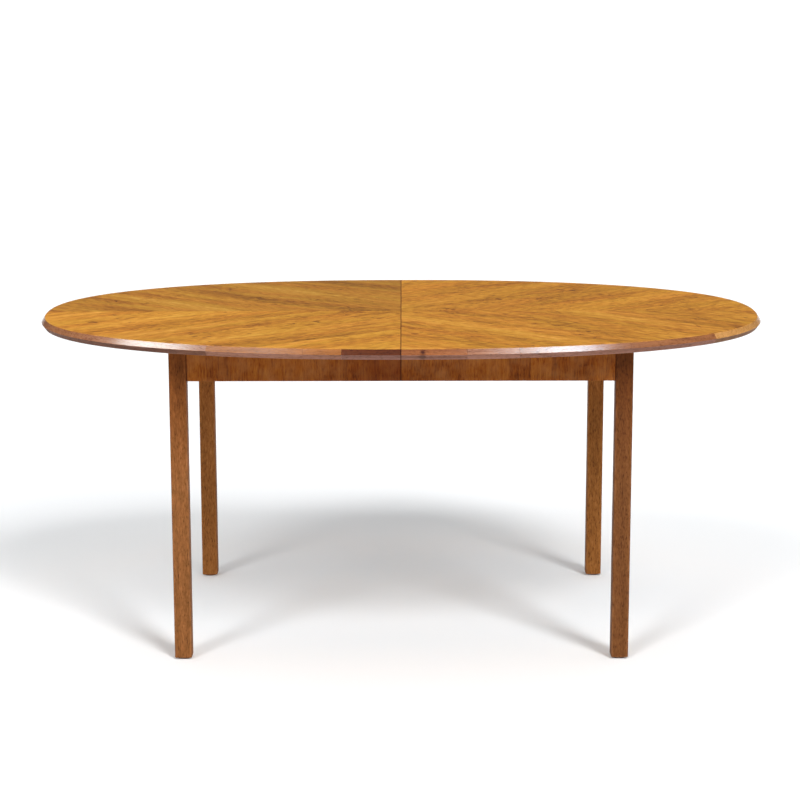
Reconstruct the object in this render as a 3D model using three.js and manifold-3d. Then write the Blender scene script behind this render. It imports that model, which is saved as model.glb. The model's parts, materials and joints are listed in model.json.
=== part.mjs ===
// An oval extending dining table, built as its maker builds it: two veneered top halves with bevelled
// solid lipping, each on its own pair of square legs and its own U of aprons, joined by telescoping
// wooden runners. The halves pull apart along X. A catch under the seam holds them shut.
//
// Frame: millimetres, +Z up, X along the table, -Y towards the front. The origin is on the floor under
// the middle of the closed table. The left half is at -X, the right half at +X.

import * as THREE from 'three';
import { mergeVertices } from 'three/addons/utils/BufferGeometryUtils.js';
import Module from 'manifold-3d';

// ---------------------------------------------------------------- driving dimensions

const tableHeight = 730;
const tableLength = 1660;
const tableWidth = 1050;
const ovalPower = 2.25; // 2 is an ellipse, and more is fuller at the corners
const outlineSteps = 40; // straight chords in a quarter of the oval
const lippingJointStep = 16; // how many of them the end lipping takes

const coreThickness = 22.4;
const veneerThickness = 0.6;
const lippingWidth = 20;
const bevelDrop = 12; // the upper bevel, from the face down to the widest line
const bevelRun = 8;
const undercutRun = 8; // the lower bevel, from the widest line in to the underside
const glueLine = 0.2;
const seamGap = 1;

const legWidth = 38;
const legSpanX = 1011; // over the outer faces
const legSpanY = 717;
const legEdgeRadius = 3;
const footRounding = 3;
const glideRadius = 15;
const glideThickness = 4;
const glideNailRadius = 1.5;
const glideNailLength = 18;

const apronHeight = 76;
const apronThickness = 20;
const apronSetback = 3; // from the legs' outer faces

const legCornerCut = 10; // the flat for the corner block, measured along each side
const cornerBlockThickness = 28;
const cornerBlockHeight = 60;
const legBoltRadius = 4;
const legBoltInLeg = 24;
const legBoltPastBlock = 14;
const legNutWidth = 13; // across its flats
const legNutThickness = 6.5;

const runnerWidth = 26;
const runnerHeight = 44;
const runnerSideGap = 0.8;
const runnerTopGap = 0.4;
const runnerSetIn = 75; // from the side apron to the outermost runner
const runnerEndGap = 42; // from a runner's end to the end apron
const runnerEndStop = 20; // the groove stops this far short of the runner's end
const stageTravel = 450; // each of the two stages, for one leaf
const tongueDepth = 8;
const tongueNeck = 10;
const tongueHead = 16;
const tongueEndGap = 10; // from a tongue's end to its runner's end
const middleRunnerDrop = 1.2; // how much lower the middle runner hangs, so that its ties clear the others
const runnerTieWidth = 60;
const runnerTieThickness = 12;
const runnerTieAt = 300;

const screwRadius = 2.25;
const screwHeadRadius = 4.5;
const screwHeadHeight = 3;
const runnerScrewBite = 12; // into the top
const runnerScrewSunk = 24; // how far up the runner the head sits
const runnerScrewFromSeam = 100;
const runnerScrewFromEnd = 40; // from the runner's end
const runnerScrewOffset = 3; // from the runner's middle, away from its groove

const dowelRadius = 4;
const dowelInLeft = 24;
const dowelInRight = 20;
const dowelAt = 330;

const catchThickness = 2.5;
const catchArmWidth = 16;
const catchPivotAt = 35; // left of the seam
const catchKeeperAt = 25; // right of the seam
const catchPastKeeper = 12;
const catchScrewRadius = 2.5;
const catchHeadRadius = 6;
const catchHeadHeight = 3;
const catchScrewBite = 14;

const fitGap = 0.3; // between pieces that pass through or sit in one another
const roundSides = 20;

// ---------------------------------------------------------------- places worked out from them

const halfLength = tableLength / 2;
const halfWidth = tableWidth / 2;
const coreTop = tableHeight - veneerThickness;
const underside = coreTop - coreThickness;
const widestLine = tableHeight - bevelDrop;
const bevelInsetAtCore = bevelRun * (1 - veneerThickness / bevelDrop); // under the face veneer
const seamHalf = seamGap / 2;
const dowelHeight = (underside + coreTop) / 2;

const legX = (legSpanX - legWidth) / 2;
const legY = (legSpanY - legWidth) / 2;
const legInnerX = legX - legWidth / 2;
const legInnerY = legY - legWidth / 2;

const apronBottom = underside - apronHeight;
const apronOuterX = legSpanX / 2 - apronSetback;
const apronOuterY = legSpanY / 2 - apronSetback;
const apronInnerX = apronOuterX - apronThickness;
const apronInnerY = apronOuterY - apronThickness;
const boltHeight = underside - apronHeight / 2;

const runnerTop = underside - runnerTopGap;
const runnerBottom = runnerTop - runnerHeight;
const runnerOuterFace = apronInnerY - runnerSetIn;
const runnerEnd = apronInnerX - runnerEndGap;
const runnerScrewsAt = [runnerScrewFromSeam, runnerEnd - runnerScrewFromEnd];
const runnerPitch = runnerWidth + runnerSideGap;
const tongueMiddle = (runnerTop + runnerBottom) / 2;
const grooveEnd = runnerEnd - runnerEndStop;
const tongueStart = -runnerEnd + tongueEndGap;
const tongueEnd = grooveEnd - stageTravel - fitGap; // the tongue meets the groove's end at full travel
const tieTop = runnerBottom - middleRunnerDrop;

// ---------------------------------------------------------------- solids and shapes

const wasm = await Module();
wasm.setup();

/** A closed geometry as a solid that can be joined and cut. */
function solidOf(geometry) {
  const bare = geometry.clone();
  bare.deleteAttribute('normal');
  bare.deleteAttribute('uv');
  const merged = mergeVertices(bare, 1e-4);
  return new wasm.Manifold(
    new wasm.Mesh({
      numProp: 3,
      vertProperties: new Float32Array(merged.attributes.position.array),
      triVerts: new Uint32Array(merged.index.array),
    }),
  );
}

/** A solid back as a geometry for a mesh. */
function geometryOf(solid) {
  const mesh = solid.getMesh();
  const geometry = new THREE.BufferGeometry();
  geometry.setAttribute('position', new THREE.BufferAttribute(mesh.vertProperties, 3));
  geometry.setIndex(new THREE.BufferAttribute(mesh.triVerts, 1));
  geometry.computeVertexNormals();
  return geometry;
}

/** One geometry with others cut out of it. */
function cut(geometry, ...tools) {
  return geometryOf(tools.reduce((solid, tool) => solid.subtract(solidOf(tool)), solidOf(geometry)));
}

/** Several geometries joined into one. */
function join(first, ...others) {
  return geometryOf(others.reduce((solid, other) => solid.add(solidOf(other)), solidOf(first)));
}

function shapeOf(points) {
  return new THREE.Shape(points.map(([x, y]) => new THREE.Vector2(x, y)));
}

/** An outline in X and Y, standing from one height to another. */
function upright(points, bottom, top) {
  const geometry = new THREE.ExtrudeGeometry(shapeOf(points), { depth: top - bottom, bevelEnabled: false });
  return geometry.translate(0, 0, bottom);
}

/** An outline in Y and Z, running along X. */
function alongX(points, start, end) {
  const geometry = new THREE.ExtrudeGeometry(shapeOf(points), { depth: end - start, bevelEnabled: false });
  const turn = new THREE.Matrix4().set(0, 0, 1, 0, 1, 0, 0, 0, 0, 1, 0, 0, 0, 0, 0, 1);
  return geometry.applyMatrix4(turn).translate(start, 0, 0);
}

function box(x0, x1, y0, y1, z0, z1) {
  const geometry = new THREE.BoxGeometry(x1 - x0, y1 - y0, z1 - z0);
  return geometry.translate((x0 + x1) / 2, (y0 + y1) / 2, (z0 + z1) / 2);
}

/** A round bar between two points. */
function bar(radius, from, to, sides = roundSides) {
  const start = new THREE.Vector3(...from);
  const way = new THREE.Vector3(...to).sub(start);
  const geometry = new THREE.CylinderGeometry(radius, radius, way.length(), sides);
  geometry.translate(0, way.length() / 2, 0);
  geometry.applyQuaternion(
    new THREE.Quaternion().setFromUnitVectors(new THREE.Vector3(0, 1, 0), way.normalize()),
  );
  return geometry.translate(start.x, start.y, start.z);
}

/** A round piece that stands on end, from its profile of [radius, height] pairs, lowest first. */
function turned(profile, x, y) {
  const points = profile.map(([radius, height]) => new THREE.Vector2(radius, height));
  return new THREE.LatheGeometry(points, roundSides).rotateX(Math.PI / 2).translate(x, y, 0);
}

/**
 * A closed solid through a row of matching rings. Its end caps are cut like capOutline, which runs
 * anticlockwise when seen from the last ring's side.
 */
function loft(rings, capOutline) {
  const count = rings[0].length;
  const index = [];
  for (let ring = 0; ring + 1 < rings.length; ring += 1) {
    for (let i = 0; i < count; i += 1) {
      const a = ring * count + i;
      const b = ring * count + ((i + 1) % count);
      index.push(a, b, b + count, a, b + count, a + count);
    }
  }
  const cap = THREE.ShapeUtils.triangulateShape(
    capOutline.map(([u, v]) => new THREE.Vector2(u, v)),
    [],
  );
  const last = (rings.length - 1) * count;
  for (const [a, b, c] of cap) index.push(c, b, a, last + a, last + b, last + c);
  const geometry = new THREE.BufferGeometry();
  geometry.setAttribute('position', new THREE.Float32BufferAttribute(rings.flat(2), 3));
  geometry.setIndex(index);
  return geometry;
}

// ---------------------------------------------------------------- the oval

/** A point on the oval's right half, moved in by inset. The angle runs from the front to the back. */
function ovalPoint(angle, inset) {
  const c = Math.cos(angle);
  const s = Math.sin(angle);
  const x = halfLength * Math.abs(c) ** (2 / ovalPower);
  const y = halfWidth * Math.sign(s) * Math.abs(s) ** (2 / ovalPower);
  const nx = Math.abs(x / halfLength) ** (ovalPower - 1) / halfLength;
  const ny = (Math.sign(y) * Math.abs(y / halfWidth) ** (ovalPower - 1)) / halfWidth;
  const length = Math.hypot(nx, ny);
  return [x - (inset * nx) / length, y - (inset * ny) / length];
}

const seamAngle = Math.acos((seamHalf / halfLength) ** (ovalPower / 2)); // where the oval meets the seam

/** Evenly spaced angles, both ends included. */
function angles(from, to, steps) {
  return Array.from({ length: steps + 1 }, (_, i) => from + ((to - from) * i) / steps);
}

/** The angles of the oval's corners from one step to another, which every piece of the top shares. */
function ovalAngles(fromStep, toStep) {
  const stepAngle = seamAngle / outlineSteps;
  return angles(fromStep * stepAngle, toStep * stepAngle, toStep - fromStep);
}

// ---------------------------------------------------------------- the top's pieces, right half

/** The board inside the lipping, with its holes for dowels, runner screws and the catch's screw. */
function topPanel(screwY, catchScrewAt) {
  const outline = ovalAngles(-outlineSteps, outlineSteps).map((angle) =>
    ovalPoint(angle, lippingWidth + glueLine),
  );
  const dowelHole = Math.max(dowelInLeft, dowelInRight) + 1;
  const holes = [-dowelAt, dowelAt].map((y) =>
    bar(dowelRadius + fitGap, [0, y, dowelHeight], [dowelHole, y, dowelHeight]),
  );
  for (const x of runnerScrewsAt) {
    for (const y of [-screwY, screwY]) {
      holes.push(bar(screwRadius + fitGap, [x, y, underside - 1], [x, y, underside + runnerScrewBite + 1]));
    }
  }
  holes.push(
    bar(
      catchScrewRadius + fitGap,
      [catchScrewAt, 0, underside - 1],
      [catchScrewAt, 0, underside + catchScrewBite + 1],
    ),
  );
  return cut(upright(outline, underside, coreTop), ...holes);
}

/** One leaf of the four-way face veneer. Its outer edge carries on the bevel below it. */
function faceVeneer() {
  const middle = glueLine / 2;
  const outline = (inset) => [
    ...ovalAngles(0, outlineSteps)
      .map((angle) => ovalPoint(angle, inset))
      .map(([x, y]) => [x, Math.max(y, middle)]),
    [seamHalf, middle],
  ];
  const ring = (inset, z) => outline(inset).map(([x, y]) => [x, y, z]);
  return loft([ring(bevelInsetAtCore, coreTop), ring(bevelRun, tableHeight)], outline(bevelRun));
}

/** A length of solid edge lipping, its bevelled section swept round the oval through a row of angles. */
function lipping(along) {
  const section = [
    [0, widestLine],
    [undercutRun, underside],
    [lippingWidth, underside],
    [lippingWidth, coreTop],
    [bevelInsetAtCore, coreTop],
  ];
  const rings = along.map((angle) => section.map(([inset, z]) => [...ovalPoint(angle, inset), z]));
  return loft(rings, section);
}

/** The lipping round the end of the right half. */
function endLipping() {
  return lipping(ovalAngles(-lippingJointStep, lippingJointStep));
}

/** The lipping from the end piece back to the seam, a glue line clear of the end piece. */
function sideLipping() {
  const [joint, ...rest] = ovalAngles(lippingJointStep, outlineSteps);
  return lipping([joint + glueLine / halfWidth, ...rest]);
}

// ---------------------------------------------------------------- the frame's pieces, right back corner

/** A square outline with rounded corners, centred on a leg and shrunk by inset. */
function legOutline(inset) {
  const half = legWidth / 2 - inset;
  const radius = legEdgeRadius;
  const arcSteps = 3;
  return [0, 1, 2, 3].flatMap((corner) =>
    angles((corner * Math.PI) / 2, ((corner + 1) * Math.PI) / 2, arcSteps).map((angle) => {
      const middle = (corner + 0.5) * (Math.PI / 2);
      const towards = [Math.sign(Math.cos(middle)), Math.sign(Math.sin(middle))];
      return [
        legX + towards[0] * (half - radius) + radius * Math.cos(angle),
        legY + towards[1] * (half - radius) + radius * Math.sin(angle),
      ];
    }),
  );
}

/** A point on the leg bolt's axis, at a distance inwards from the flat on the leg's corner. */
function boltPoint(distance) {
  const flat = (legInnerX + legInnerY + legCornerCut - apronInnerX - apronInnerY) / 2;
  const along = flat - distance / Math.SQRT2;
  return [apronInnerX + along, apronInnerY + along, boltHeight];
}

function leg() {
  const rounding = [
    [0, footRounding],
    [footRounding * 0.3, footRounding * 0.3],
    [footRounding, 0],
  ];
  const rings = rounding.map(([rise, inset]) =>
    legOutline(inset).map(([x, y]) => [x, y, glideThickness + rise]),
  );
  rings.push(legOutline(0).map(([x, y]) => [x, y, underside]));
  const blank = loft(rings, legOutline(0));
  const corner = [legInnerX, legInnerY];
  const flat = upright(
    [
      [corner[0] - 1, corner[1] - 1],
      [corner[0] + legCornerCut + 1, corner[1] - 1],
      [corner[0] - 1, corner[1] + legCornerCut + 1],
    ],
    apronBottom,
    underside + 1,
  );
  const boltHole = bar(legBoltRadius + fitGap, boltPoint(-legBoltInLeg - 1), boltPoint(5));
  const nailHole = bar(
    glideNailRadius + fitGap,
    [legX, legY, 0],
    [legX, legY, glideThickness + glideNailLength + 1],
  );
  return cut(blank, flat, boltHole, nailHole);
}

/** A foot glide: a low plastic disc on its own nail. */
function footGlide() {
  const edge = 1;
  return turned(
    [
      [0, 0],
      [glideRadius - edge, 0],
      [glideRadius, edge],
      [glideRadius, glideThickness],
      [glideNailRadius, glideThickness],
      [glideNailRadius, glideThickness + glideNailLength - 2],
      [0, glideThickness + glideNailLength],
    ],
    legX,
    legY,
  );
}

/** The apron of one half, along the front or the back, from its leg to the seam. */
function sideApron() {
  return box(seamHalf, legInnerX, apronInnerY, apronOuterY, apronBottom, underside);
}

/** The apron across the end, between the legs. */
function endApron() {
  return box(apronInnerX, apronOuterX, -legInnerY, legInnerY, apronBottom, underside);
}

/** The block glued across the corner of two aprons, which the leg is drawn up against. */
function cornerBlock() {
  const near = apronInnerX - legInnerX + apronInnerY - legInnerY - legCornerCut + fitGap * Math.SQRT2;
  const far = near + cornerBlockThickness * Math.SQRT2;
  const outline = [
    [apronInnerX - near, apronInnerY],
    [apronInnerX - far, apronInnerY],
    [apronInnerX, apronInnerY - far],
    [apronInnerX, apronInnerY - near],
  ];
  const block = upright(outline, boltHeight - cornerBlockHeight / 2, boltHeight + cornerBlockHeight / 2);
  const hole = bar(legBoltRadius + fitGap, boltPoint(-5), boltPoint(cornerBlockThickness + 5));
  return cut(block, hole);
}

/** The hanger bolt that the leg carries. */
function legBolt() {
  return bar(legBoltRadius, boltPoint(-legBoltInLeg), boltPoint(cornerBlockThickness + legBoltPastBlock));
}

function legNut() {
  const start = cornerBlockThickness + 2 * fitGap;
  const nut = bar(legNutWidth / Math.sqrt(3), boltPoint(start), boltPoint(start + legNutThickness), 6);
  return cut(nut, bar(legBoltRadius + fitGap, boltPoint(start - 5), boltPoint(start + legNutThickness + 5)));
}

// ---------------------------------------------------------------- the runners, at the back of the table

/** The dovetail of a tongue or, with clearance, of its groove. Face is the Y that it widens from. */
function dovetail(face, clearance) {
  const neck = tongueNeck / 2 + clearance;
  const head = tongueHead / 2 + clearance;
  const root = 1; // how far it carries on behind the face
  return [
    [face - root, tongueMiddle - neck],
    [face, tongueMiddle - neck],
    [face + tongueDepth + clearance, tongueMiddle - head],
    [face + tongueDepth + clearance, tongueMiddle + head],
    [face, tongueMiddle + neck],
    [face - root, tongueMiddle + neck],
  ];
}

/** A runner. Place 0 is the outer one, 1 the middle and 2 the inner, and each slides in the next one out. */
function runner(place, { groove, tongue, bottom, screwsAt }) {
  const outer = runnerOuterFace - place * runnerPitch;
  const inner = outer - runnerWidth;
  const profile = [
    [inner, bottom],
    [outer, bottom],
    [outer, runnerTop],
    [inner, runnerTop],
  ];
  let geometry = alongX(profile, -runnerEnd, runnerEnd);
  if (groove) {
    const start = inner - runnerSideGap;
    geometry = cut(geometry, alongX(dovetail(start, fitGap), -runnerEnd - 1, grooveEnd));
  }
  if (tongue) geometry = join(geometry, alongX(dovetail(outer, 0), tongueStart, tongueEnd));
  const screwY = runnerScrewY(place);
  for (const x of screwsAt) {
    const mouth = [x, screwY, bottom - 1];
    const hole = bar(screwRadius + fitGap, mouth, [x, screwY, runnerTop + 1]);
    const sunk = bar(screwHeadRadius + fitGap, mouth, [x, screwY, bottom + runnerScrewSunk]);
    geometry = cut(geometry, hole, sunk);
  }
  return geometry;
}

function runnerScrewY(place) {
  return runnerOuterFace - place * runnerPitch - runnerWidth / 2 + runnerScrewOffset;
}

/** A countersunk screw up through a runner into the top. */
function runnerScrew(x, y) {
  const head = runnerBottom + runnerScrewSunk - screwHeadHeight - fitGap;
  const tip = underside + runnerScrewBite;
  return turned(
    [
      [0, head],
      [screwHeadRadius, head],
      [screwHeadRadius, head + screwHeadHeight],
      [screwRadius, head + screwHeadHeight],
      [screwRadius, tip - 4],
      [0, tip],
    ],
    x,
    y,
  );
}

/** A batten under the two middle runners, which keeps them in step. */
function runnerTie() {
  const reach = runnerOuterFace - runnerPitch;
  const half = runnerTieWidth / 2;
  return box(-half, half, -reach, reach, tieTop - runnerTieThickness, tieTop);
}

// ---------------------------------------------------------------- the seam's dowels and catch

/** A dowel in the left half's seam edge, which enters the right half's hole. */
function seamDowel(y) {
  const leftEnd = [-seamHalf - dowelInLeft, y, dowelHeight];
  const rightEnd = [seamHalf + dowelInRight, y, dowelHeight];
  return bar(dowelRadius, leftEnd, rightEnd);
}

/** A round-headed screw under the top: the catch's pivot, and the keeper that it hooks. */
function catchScrew(x) {
  const headTop = underside - catchThickness - 3 * fitGap;
  return turned(
    [
      [0, headTop - catchHeadHeight],
      [catchHeadRadius - 2, headTop - catchHeadHeight],
      [catchHeadRadius, headTop - 1],
      [catchHeadRadius, headTop],
      [catchScrewRadius, headTop],
      [catchScrewRadius, underside + catchScrewBite - 4],
      [0, underside + catchScrewBite],
    ],
    x,
    0,
  );
}

/** The catch's arm, swung back along +Y. Its curved notch takes the keeper when it turns to +X. */
function catchArm() {
  const reach = catchPivotAt + catchKeeperAt;
  const half = catchArmWidth / 2;
  const slack = 3 * fitGap;
  const notchInner = reach - catchScrewRadius - slack;
  const notchOuter = reach + catchScrewRadius + slack;
  const notchEnd = (catchScrewRadius + slack) / reach;
  const onArc = (radius, turn) => [-radius * Math.sin(turn), radius * Math.cos(turn)];
  const edgeTurn = (radius) => -Math.asin((half + 1) / radius);
  const endSteps = roundSides / 2;
  const arcSteps = 6;
  const tip = reach + catchPastKeeper;
  const outline = [
    ...angles(Math.PI, 2 * Math.PI, endSteps).map((a) => [half * Math.cos(a), half * Math.sin(a)]),
    ...angles(0, Math.PI, endSteps).map((a) => [half * Math.cos(a), tip - half + half * Math.sin(a)]),
  ];
  const notch = [
    ...angles(edgeTurn(notchInner), notchEnd, arcSteps).map((turn) => onArc(notchInner, turn)),
    ...angles(notchEnd, edgeTurn(notchOuter), arcSteps).map((turn) => onArc(notchOuter, turn)),
  ];
  const top = underside - fitGap;
  const plate = upright(outline, top - catchThickness, top);
  const pivotHole = bar(catchScrewRadius + fitGap, [0, 0, top - catchThickness - 1], [0, 0, top + 1]);
  const arm = cut(plate, upright(notch, top - catchThickness - 1, top + 1), pivotHole);
  return arm.translate(-catchPivotAt, 0, 0);
}

// ---------------------------------------------------------------- materials

function material(color, roughness, metalness = 0) {
  return new THREE.MeshStandardMaterial({ color, roughness, metalness });
}

const walnutVeneer = material(0xc8893f, 0.38);
const lippingWood = material(0xa0623c, 0.4);
const legWood = material(0x85512c, 0.5);
const apronVeneer = material(0x7a4724, 0.5);
const backingVeneer = material(0x9a6b3e, 0.6);
const runnerBeech = material(0xc9a06e, 0.6);
const zincSteel = material(0xb4b6b8, 0.35, 1);
const brass = material(0xb08d4c, 0.35, 1);
const glidePlastic = material(0x2e211a, 0.6);

// ---------------------------------------------------------------- the assembly

const table = new THREE.Group();

/** Adds one piece, mirrored in X or Y where it is a right or back piece used on another side. */
function add(name, geometry, finish, side = 1, face = 1) {
  const mesh = new THREE.Mesh(geometry, finish);
  mesh.name = name;
  mesh.scale.set(side, face, 1);
  table.add(mesh);
}

const sides = { left: -1, right: 1 };
const faces = { front: -1, back: 1 };
const fixedRunner = { left: 0, right: 2 }; // which runner is screwed to each half
const catchScrewAt = { left: catchPivotAt, right: catchKeeperAt };

for (const [side, sx] of Object.entries(sides)) {
  add(`top_panel_${side}`, topPanel(runnerScrewY(fixedRunner[side]), catchScrewAt[side]), backingVeneer, sx);
  add(`lipping_end_${side}`, endLipping(), lippingWood, sx);
  add(`apron_end_${side}`, endApron(), apronVeneer, sx);
  add(`catch_screw_${side}`, catchScrew(catchScrewAt[side]), brass, sx);
  for (const [face, sy] of Object.entries(faces)) {
    const place = `${side}_${face}`;
    add(`face_veneer_${place}`, faceVeneer(), walnutVeneer, sx, sy);
    add(`lipping_${place}`, sideLipping(), lippingWood, sx, sy);
    add(`apron_${place}`, sideApron(), apronVeneer, sx, sy);
    add(`leg_${place}`, leg(), legWood, sx, sy);
    add(`foot_glide_${place}`, footGlide(), glidePlastic, sx, sy);
    add(`corner_block_${place}`, cornerBlock(), runnerBeech, sx, sy);
    add(`leg_bolt_${place}`, legBolt(), zincSteel, sx, sy);
    add(`leg_nut_${place}`, legNut(), zincSteel, sx, sy);
    runnerScrewsAt.forEach((x, i) => {
      const screw = runnerScrew(x, runnerScrewY(fixedRunner[side]));
      add(`runner_screw_${place}_${i + 1}`, screw, zincSteel, sx, sy);
    });
  }
}

for (const [face, sy] of Object.entries(faces)) {
  const outer = {
    groove: true,
    tongue: false,
    bottom: runnerBottom,
    screwsAt: runnerScrewsAt.map((x) => -x),
  };
  const middle = { groove: true, tongue: true, bottom: tieTop, screwsAt: [] };
  const inner = { groove: false, tongue: true, bottom: runnerBottom, screwsAt: runnerScrewsAt };
  add(`runner_outer_${face}`, runner(0, outer), runnerBeech, 1, sy);
  add(`runner_middle_${face}`, runner(1, middle), runnerBeech, 1, sy);
  add(`runner_inner_${face}`, runner(2, inner), runnerBeech, 1, sy);
  add(`seam_dowel_${face}`, seamDowel(dowelAt), runnerBeech, 1, sy);
}

for (const [side, sx] of Object.entries(sides)) {
  add(`runner_tie_${side}`, runnerTie().translate(sx * runnerTieAt, 0, 0), runnerBeech);
}

add('catch_arm', catchArm(), brass);

export default table;
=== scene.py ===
# %% [markdown]
# # An oval extending dining table
#
# The table is a piece of mid-century cabinet work: a veneered oval top in two halves, a bevelled edge of
# solid wood, four square legs, and wooden runners that let the halves slide apart. The frame below is the
# exact model that everything must fit. It is loaded first, and nothing in it is moved. The lesson then
# builds the fine surface of each piece around it.

import json
import math

import bmesh
import bpy
from mathutils import Matrix, Vector


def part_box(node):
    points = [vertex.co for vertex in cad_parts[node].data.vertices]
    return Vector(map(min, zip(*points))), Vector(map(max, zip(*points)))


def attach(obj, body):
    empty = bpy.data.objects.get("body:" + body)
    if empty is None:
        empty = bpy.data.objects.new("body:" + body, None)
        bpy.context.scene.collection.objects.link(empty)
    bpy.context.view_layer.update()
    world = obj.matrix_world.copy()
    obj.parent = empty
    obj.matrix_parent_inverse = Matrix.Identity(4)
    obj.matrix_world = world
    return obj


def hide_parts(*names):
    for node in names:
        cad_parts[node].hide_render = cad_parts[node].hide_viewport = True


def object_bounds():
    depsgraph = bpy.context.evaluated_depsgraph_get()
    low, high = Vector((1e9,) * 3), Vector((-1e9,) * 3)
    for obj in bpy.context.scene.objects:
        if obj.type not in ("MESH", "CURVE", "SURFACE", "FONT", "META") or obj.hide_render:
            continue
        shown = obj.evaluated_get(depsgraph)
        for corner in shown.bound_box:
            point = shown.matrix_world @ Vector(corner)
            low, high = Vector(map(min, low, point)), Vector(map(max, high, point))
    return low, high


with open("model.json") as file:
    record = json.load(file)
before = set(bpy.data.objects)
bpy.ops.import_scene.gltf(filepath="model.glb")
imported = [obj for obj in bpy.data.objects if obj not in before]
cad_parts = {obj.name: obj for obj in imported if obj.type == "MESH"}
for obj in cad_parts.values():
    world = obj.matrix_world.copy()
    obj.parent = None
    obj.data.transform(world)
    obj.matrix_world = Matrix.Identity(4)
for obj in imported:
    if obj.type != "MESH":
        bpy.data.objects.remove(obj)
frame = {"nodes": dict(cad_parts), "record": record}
cad_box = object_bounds()
nodes = frame["nodes"]
low, high = (Vector(corner) for corner in cad_box)
print("nodes", len(nodes), "size in metres", [round(v, 3) for v in high - low])

# %% [markdown]
# ## The sizes
#
# Every place comes from the frame's own boxes, so the looks follow the model if a size changes. Only what
# the boxes can't tell is written down here: how full the oval is, and how far its bevels run in.

# %% Measure the frame
MM = 0.001
SIDES = {"left": -1, "right": 1}
FACES = {"front": -1, "back": 1}
QUARTERS = [(side_name, face_name) for side_name in SIDES for face_name in FACES]

half_length = high.x
half_width = high.y
table_height = high.z
OVAL_POWER = 2.25  # 2 is an ellipse, and more is fuller at the corners
BEVEL_RUN = 8 * MM
UNDERCUT_RUN = 8 * MM
BEVEL_DROP = 12 * MM
LIPPING_WIDTH = 20 * MM
GLUE_LINE = 0.2 * MM

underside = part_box("top_panel_right")[0].z
core_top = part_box("top_panel_right")[1].z
seam_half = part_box("apron_right_front")[0].x
SEAM_CLEARANCE = 0.005 * MM  # the frame keeps a running gap at the seam, but a closed table shuts tight
apron_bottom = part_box("apron_right_front")[0].z
widest_line = table_height - BEVEL_DROP
print("top from", round(underside, 4), "to", round(table_height, 4), "seam", round(2 * seam_half, 4))

# %% [markdown]
# ## The camera
#
# The camera stands five metres in front of the table at standing height and looks down by eleven degrees.
# A long lens keeps the legs nearly parallel, as furniture is usually pictured.

# %% Camera
CAMERA_PLACE = (0.0042, -4.977, 1.505)
CAMERA_PITCH = math.radians(11.21)
CAMERA_YAW = math.radians(0.08)
CAMERA_ROLL = math.radians(-0.11)
CAMERA_LENS = 97.26
SENSOR_WIDTH = 36

lens = bpy.data.cameras.new("camera")
lens.lens = CAMERA_LENS
lens.sensor_width = SENSOR_WIDTH
lens.clip_end = 500
camera = bpy.data.objects.new("camera", lens)
camera.matrix_world = (
    Matrix.Translation(CAMERA_PLACE)
    @ Matrix.Rotation(CAMERA_YAW, 4, "Z")
    @ Matrix.Rotation(math.pi / 2 - CAMERA_PITCH, 4, "X")
    @ Matrix.Rotation(CAMERA_ROLL, 4, "Z")
)
bpy.context.scene.collection.objects.link(camera)
bpy.context.scene.camera = camera
print("camera", [round(v, 3) for v in camera.location], "lens", lens.lens)

# %% [markdown]
# ## Colours and nodes
#
# Colours are picked as sRGB hex values, as on a screen, but shaders count in linear light, so one
# function turns them. One more small function adds a shader node with its settings and its links, and
# hands back the output that the next node will read.

# %% Colour and node helpers


def linear(hex_colour):
    """The linear colour of an sRGB hex value such as "#c48a40"."""
    parts = [int(hex_colour[i : i + 2], 16) / 255 for i in (1, 3, 5)]
    return [p / 12.92 if p <= 0.04045 else ((p + 0.055) / 1.055) ** 2.4 for p in parts] + [1.0]


def add_node(tree, kind, inputs=(), output=0, stops=(), **settings):
    """Adds a node and returns one of its outputs. Inputs are values, or other nodes' outputs to link."""
    node = tree.nodes.new(kind)
    for name, value in settings.items():
        setattr(node, name, value)
    for key, value in dict(inputs).items():
        if isinstance(value, bpy.types.NodeSocket):
            tree.links.new(value, node.inputs[key])
        else:
            node.inputs[key].default_value = value
    if stops:
        ramp = node.color_ramp
        while len(ramp.elements) < len(stops):
            ramp.elements.new(0.5)
        for element, (place, colour) in zip(ramp.elements, stops):
            element.position = place
            element.color = colour
    return node.outputs[output]


def new_material(name, **values):
    """A material with one principled shader, its sockets set by name. Returns it, its tree and shader."""
    material = bpy.data.materials.new(name)
    material.use_nodes = True
    shader = material.node_tree.nodes["Principled BSDF"]
    for key, value in values.items():
        shader.inputs[key.replace("_", " ")].default_value = value
    return material, material.node_tree, shader


print("mid honey in linear light", [round(v, 3) for v in linear("#c48a40")])

# %% [markdown]
# ## What wood looks like
#
# Wood is drawn with streaks: noise stretched along the grain, at the real length and width of what it
# stands for. Broad streaks are the colour bands of the plank, fine ones are its fibres, and short dark
# dashes are pores. Real fibres are under half a millimetre wide, too fine to show at this distance, so
# they are drawn two to three millimetres wide.

# %% Streaks and layers


def streaks(tree, grain, length, width, seed, detail=3, depth=0.0):
    """Noise stretched along X, in streaks of about that length and width, in metres."""
    scaled = add_node(
        tree,
        "ShaderNodeMapping",
        {
            "Vector": grain,
            "Scale": (1 / length, 1 / width, 1 / width),
            "Location": (seed, 2.7 * seed, 0.6 * seed + depth),
        },
    )
    return add_node(tree, "ShaderNodeTexNoise", {"Vector": scaled, "Scale": 1, "Detail": detail})


def layered(tree, start, *layers):
    """A value that starts at start, with each pattern added around it by its own amount."""
    value = start - sum(amount for _, amount in layers) / 2
    for pattern, amount in layers:
        value = add_node(tree, "ShaderNodeMath", {0: pattern, 1: amount, 2: value}, operation="MULTIPLY_ADD")
    return value


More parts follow.
